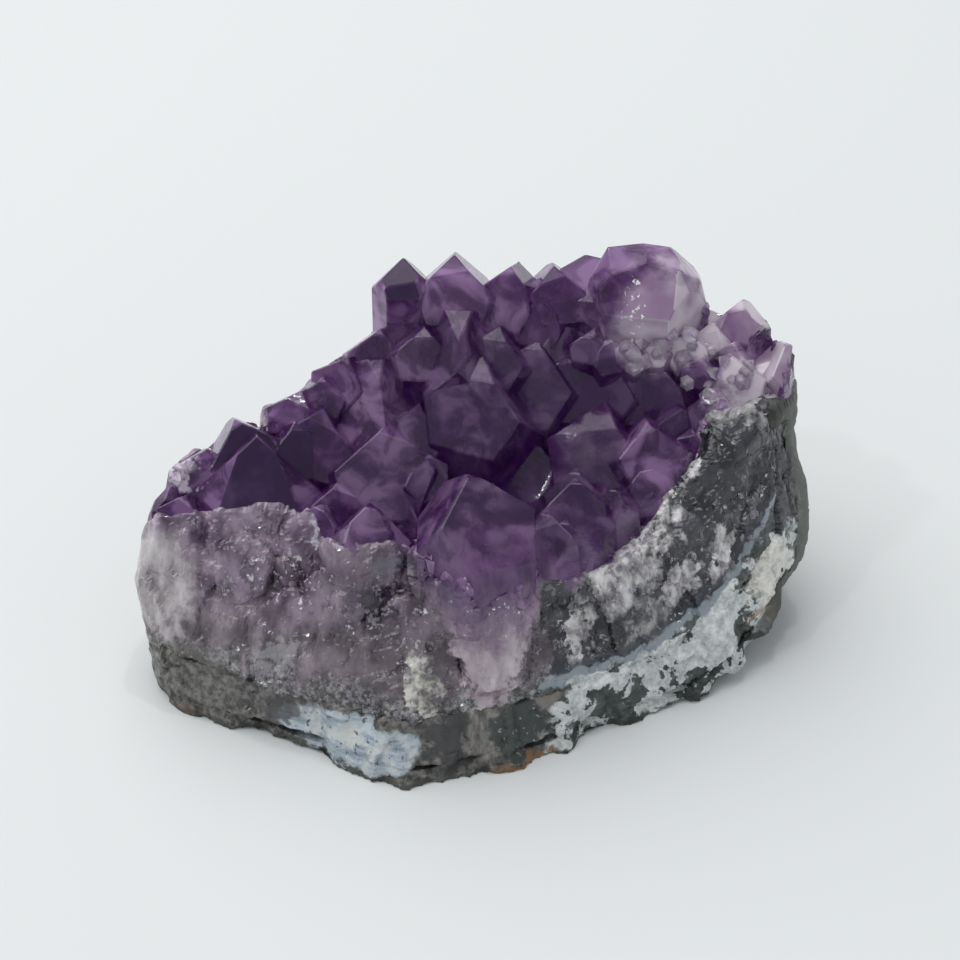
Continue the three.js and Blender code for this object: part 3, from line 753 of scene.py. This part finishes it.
def amethyst_material():
    material, at = new_material("amethyst")
    down, tone, facet, edge, shade = (
        Field.make("ShaderNodeAttribute", {"attribute_name": name}, {}, "Fac")
        for name in ("down", "tone", "facet", "edge", "shade")
    )
    haze = cloud(at, 6.0, 3, 0.5)
    wisps = cloud(at, 2.5, 5, 0.7, 1.5)
    pale = (down * 0.05 + haze * 0.6 + tone * 0.3 + facet * 0.3).rises(0.35, 1.4)
    tint = pale.blend((0.30, 0.12, 0.44, 1), (0.92, 0.80, 0.96, 1))
    # The blunted edges are tinted paler: a painted highlight along them.
    tint = (edge * 0.5).blend(tint, (0.90, 0.85, 0.93, 1))
    frost = cloud(at, 1.6, 5, 0.65)
    striped = cloud(at.vector("MULTIPLY", (1.0, 1.0, 6.0)), 2.0, 3)
    relief = bumped(striped * 0.5 + frost * 0.5, 0.05)
    clear = Field.make(
        "ShaderNodeBsdfPrincipled",
        {},
        {
            "Base Color": tint,
            "Roughness": 0.02 + 0.07 * frost + 0.2 * edge,
            "Normal": relief,
            "IOR": 1.545,
            "Specular IOR Level": 0.35,
            "Transmission Weight": 1.0,
        },
    )
    ragged = stirred(at, 4.0, 14.0)
    inner = cloud(at, 4.0, 2, 0.4)
    glow_seed = cloud(at, 5.0, 3, 0.5)
    lump = spot(stirred(at, 5.0, 6.0), (27.5, 20.5, 45), (8.0, 9, 9), 0.8) * (0.55 + inner * 0.6)
    lump = lump + spot(ragged, (-43.5, -1, 32), (3.0, 4, 3.5)) * 0.6
    lump = lump + (axis(ragged, 0).rises(31.0, 40.0) * 0.65) * axis(at, 2).rises(31.0, 36.0)
    root = axis(ragged, 2).rises(37.0, 27.0) * spot(at, (2, -20, 24), (11, 10, 14), 0.3)
    # Painted shade: the SHADED faces and patches of the bowl turn milky and nearly black.
    dark = shade * (0.7 + glow_seed * 0.5) + spot(at, (-9.6, -3, 29), (4, 5, 4)) * 0.6
    dark = dark + spot(ragged, (24, 13, 34), (9, 8, 6)) * 0.55 + spot(ragged, (11, 9, 31), (5, 5, 4)) * 0.4
    back = axis(at, 1).rises(17.0, 25.0)
    glow = cloud(at.vector("ADD", (0.9, 0.1, 0.4)), 5.0, 3, 0.5, 0.8).rises(0.36, 0.66)
    # Painted light: the crystals turn milkier where they look lit, at a spot on the bowl's right, at the back
    # and at the left end, and less so right of the bowl's middle.
    painted_light = spot(at, (26, 3, 33), (5, 6, 6)) * 0.4 + back * 0.25 + axis(at, 0).rises(4.0, -20.0) * 0.25
    painted_light = painted_light - spot(at, (18, 11, 32), (14, 9, 8)) * 0.2
    lower = down.rises(3.0, 14.0)
    milk = 0.22 + glow * (0.22 + painted_light) + lump + root * 0.8 + back * (0.25 + lower * 0.45) + dark * 0.75
    milk = milk + wisps.rises(0.6, 0.8) * 0.12
    purple = glow * 0.6 + facet * 0.5 + lower * back * 1.1
    purple = purple.rises(0.1, 1.4).blend((0.11, 0.016, 0.165, 1), (0.40, 0.25, 0.46, 1))
    purple = root.blend(purple, root_color(at, ragged))
    purple = dark.math("MINIMUM", 1.0).blend(purple, (0.030, 0.008, 0.055, 1))
    # Painted glints: a column of white specks on the milky lump.
    glint = specks_and_glints(at, 0.8, 0.35) * spot(at, (23.5, 17, 47), (2.0, 8, 6.0), 0.2)
    pearl = (inner * 0.6 + facet * 0.4).rises(0.25, 0.7).blend((0.34, 0.22, 0.36, 1), (0.75, 0.67, 0.75, 1))
    purple = lump.rises(0.1, 0.7).blend(purple, pearl)
    purple = glint.math("MINIMUM", 1.0).blend(purple, (0.95, 0.94, 0.96, 1))
    milk = milk + glint
    milky = Field.make(
        "ShaderNodeBsdfPrincipled",
        {},
        {
            "Base Color": purple,
            "Roughness": 0.18,
            "Normal": relief,
            "IOR": 1.545,
            "Specular IOR Level": 0.35,
            "Subsurface Weight": 0.3,
            "Subsurface Radius": (0.003, 0.0025, 0.003),
        },
    )
    milk = milk.math("MINIMUM", 0.95)
    shader = Field.make("ShaderNodeMixShader", {}, {0: milk, 1: clear, 2: milky})
    volume = Field.make("ShaderNodeVolumeAbsorption", {}, {"Color": (0.54, 0.18, 0.70, 1), "Density": 130.0})
    end_material(shader, volume)
    return material


points_mesh = crystal_shape()
points_mesh.materials.append(amethyst_material())
points = bpy.data.objects.new("amethyst_points", points_mesh)
bpy.context.collection.objects.link(points)
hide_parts("amethyst_crystals")
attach(points, "root")

# ---------------------------------------------------------------- veils in the points
# Thin healed cracks and wisps of milky quartz, sealed in the clear points when they grew. They catch the
# light inside the crystals.


def instance_tree(name, smoothness, flatness, sunk_by):
    """Scatters flattened grains over a patch, turned every way, sunk this many mm under its skin."""
    sizes = {"Density": "NodeSocketFloat", "Smallest": "NodeSocketFloat", "Largest": "NodeSocketFloat"}
    sizes |= {"Seed": "NodeSocketInt", "Material": "NodeSocketMaterial"}
    tree, given = new_tree(name, sizes)
    spread = {"Mesh": given["Geometry"], "Density": given["Density"], "Seed": given["Seed"]}
    places = Field.make("GeometryNodeDistributePointsOnFaces", {}, spread, "Points")
    normal = places.sibling("Normal")
    how_deep = {2: sunk_by[0], 3: sunk_by[1], "Seed": 3}
    depth = Field.make("FunctionNodeRandomValue", {"data_type": "FLOAT"}, how_deep, 1) * -MM
    inward = Field.make("ShaderNodeVectorMath", {"operation": "SCALE"}, {0: normal, "Scale": depth})
    sunk = Field.make("GeometryNodeSetPosition", {}, {"Geometry": places, "Offset": inward})
    ball = {"Radius": 0.5 * MM, "Subdivisions": smoothness}
    grain = Field.make("GeometryNodeMeshIcoSphere", {}, ball, "Mesh")
    grain = Field.make("GeometryNodeTransform", {}, {"Geometry": grain, "Scale": flatness})
    any_way = {0: (0, 0, 0), 1: (6.3, 6.3, 6.3)}
    turn = Field.make("FunctionNodeRandomValue", {"data_type": "FLOAT_VECTOR"}, any_way, 0)
    wide = {2: given["Smallest"], 3: given["Largest"], "Seed": 8}
    size = Field.make("FunctionNodeRandomValue", {"data_type": "FLOAT"}, wide, 1)
    placed = {"Points": sunk, "Instance": grain, "Rotation": turn, "Scale": size}
    end_tree(tree, Field.make("GeometryNodeInstanceOnPoints", {}, placed), given["Material"])
    return tree


def patch_of(mesh, ovals):
    """The faces of a mesh whose middles are in any of these ovals: centre and half-widths in mm."""

    def holds(oval, place):
        return sum(((p - c) / w) ** 2 for p, c, w in zip(place, *oval)) < 1

    form = bmesh.new()
    form.from_mesh(mesh)
    outside = []
    for face in form.faces:
        middle = face.calc_center_median() / MM
        if not any(holds(oval, middle) for oval in ovals):
            outside.append(face)
    bmesh.ops.delete(form, geom=outside, context="FACES")
    patch = bpy.data.meshes.new("patch")
    form.to_mesh(patch)
    form.free()
    return patch


def plain_glass(name, color, roughness, transmission):
    material, at = new_material(name)
    tone = cloud(at, 1.5, 3).rises(0.35, 0.65).blend(color, (0.92, 0.90, 0.94, 1))
    rough = roughness + 0.1 * cloud(at, 0.8, 3)
    values = {"Base Color": tone, "Roughness": rough, "IOR": 1.545, "Transmission Weight": transmission}
    end_material(Field.make("ShaderNodeBsdfPrincipled", {}, values))
    return material


def drop_unsealed(mesh, corners_each):
    """Deletes the grains, of so many corners each, that are not wholly inside the crystals."""
    form = bmesh.new()
    form.from_mesh(mesh)
    form.verts.ensure_lookup_table()
    outside = []
    for start in range(0, len(form.verts), corners_each):
        grain = form.verts[start : start + corners_each]
        for vertex in grain:
            skin, normal = druse_foot.find_nearest(vertex.co)[:2]
            if (skin - vertex.co).dot(normal) < 0.25 * MM:
                outside += grain
                break
    bmesh.ops.delete(form, geom=outside, context="VERTS")
    form.to_mesh(mesh)
    form.free()


VEIL_CORNERS = 42  # of a ball divided twice

bowl_and_rims = [((8, 6, 34), (38, 24, 14)), ((8, 24, 46), (34, 10, 12)), ((1, -14, 33), (9, 8, 8))]
veils = grow(
    "inner_veils",
    patch_of(points_mesh, bowl_and_rims),
    instance_tree("veils", 2, (1.0, 0.55, 0.05), (1.2, 4.5)),
    {"Density": 18000.0, "Smallest": 1.0, "Largest": 3.5, "Seed": 4,
     "Material": plain_glass("veil", (0.60, 0.42, 0.66, 1), 0.15, 0.55)},
)
drop_unsealed(veils.data, VEIL_CORNERS)
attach(veils, "root")

# ---------------------------------------------------------------- glassy splinters
# Grains and splinters of clear quartz left standing where the wall broke, and loose ones caught under the
# largest crystal. Each has a few bright faces, and they make the glints.

glinting = [
    ((-33, -12, 24), (10, 6, 6)), ((-20, -17, 23), (9, 6, 4)), ((-9, -21, 21), (7, 6, 4)),
    ((-20, -24, 10.5), (16, 8, 3)), ((-7.8, -26, 12), (4, 6, 6)), ((21, -11, 24), (8, 8, 6)),
    ((14.4, -17.6, 16), (3, 6, 6)), ((30, -9, 18), (6, 6, 4)), ((38, -2, 22), (5, 8, 8)),
]
splinter_tree = instance_tree("splinters", 1, (1.0, 0.6, 0.35), (-0.25, 0.25))
clear_quartz = plain_glass("clear_quartz", (0.70, 0.64, 0.74, 1), 0.02, 0.8)
for number, wall in enumerate((quartz, bed)):
    splinters = grow(
        f"splinters_{number + 1}",
        patch_of(wall.data, glinting),
        splinter_tree,
        {"Density": 420000.0, "Smallest": 0.5, "Largest": 1.8, "Seed": 11 + number, "Material": clear_quartz},
    )
    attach(splinters, "root")

# ---------------------------------------------------------------- small clear points
# Nearly colourless points a few millimetres wide, grown late in the shelter of the rim: under the largest
# crystal, beside it on the right rim, and at the left end.


def small_points_tree():
    """Six-sided points over a patch, each along the surface's own direction give or take a lean."""
    sizes = {"Density": "NodeSocketFloat", "Smallest": "NodeSocketFloat", "Largest": "NodeSocketFloat"}
    sizes |= {"Seed": "NodeSocketInt", "Material": "NodeSocketMaterial"}
    tree, given = new_tree("small_points", sizes)
    spread = {"Mesh": given["Geometry"], "Density": given["Density"], "Seed": given["Seed"]}
    places = Field.make("GeometryNodeDistributePointsOnFaces", {}, spread, "Points")
    upright = places.sibling("Rotation")
    shape = {"Vertices": 6, "Radius Top": 0.0, "Radius Bottom": 0.55 * MM, "Depth": 0.6 * MM}
    tip = Field.make("GeometryNodeMeshCone", {}, shape, "Mesh")
    lean = {0: (-0.3, -0.3, -3.1), 1: (0.3, 0.3, 3.1), "Seed": 5}
    lean = Field.make("FunctionNodeRandomValue", {"data_type": "FLOAT_VECTOR"}, lean, 0)
    turned = Field.make("FunctionNodeRotateRotation", {"rotation_space": "LOCAL"}, {0: upright, 1: lean})
    wide = {2: given["Smallest"], 3: given["Largest"], "Seed": 6}
    size = Field.make("FunctionNodeRandomValue", {"data_type": "FLOAT"}, wide, 1)
    placed = {"Points": places, "Instance": tip, "Rotation": turned, "Scale": size}
    end_tree(tree, Field.make("GeometryNodeInstanceOnPoints", {}, placed), given["Material"])
    return tree


sheltered = [
    ((29, 15, 41.5), (7.5, 4.5, 3.5)), ((36.5, 12.5, 40), (4.5, 4.5, 3.5)), ((-42, -1, 32), (3, 4, 3)),
]
small_points = grow(
    "small_clear_points",
    patch_of(points_mesh, sheltered),
    small_points_tree(),
    {"Density": 130000.0, "Smallest": 0.8, "Largest": 3.6, "Seed": 2,
     "Material": plain_glass("pale_quartz", (0.66, 0.50, 0.72, 1), 0.02, 0.75)},
)
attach(small_points, "root")
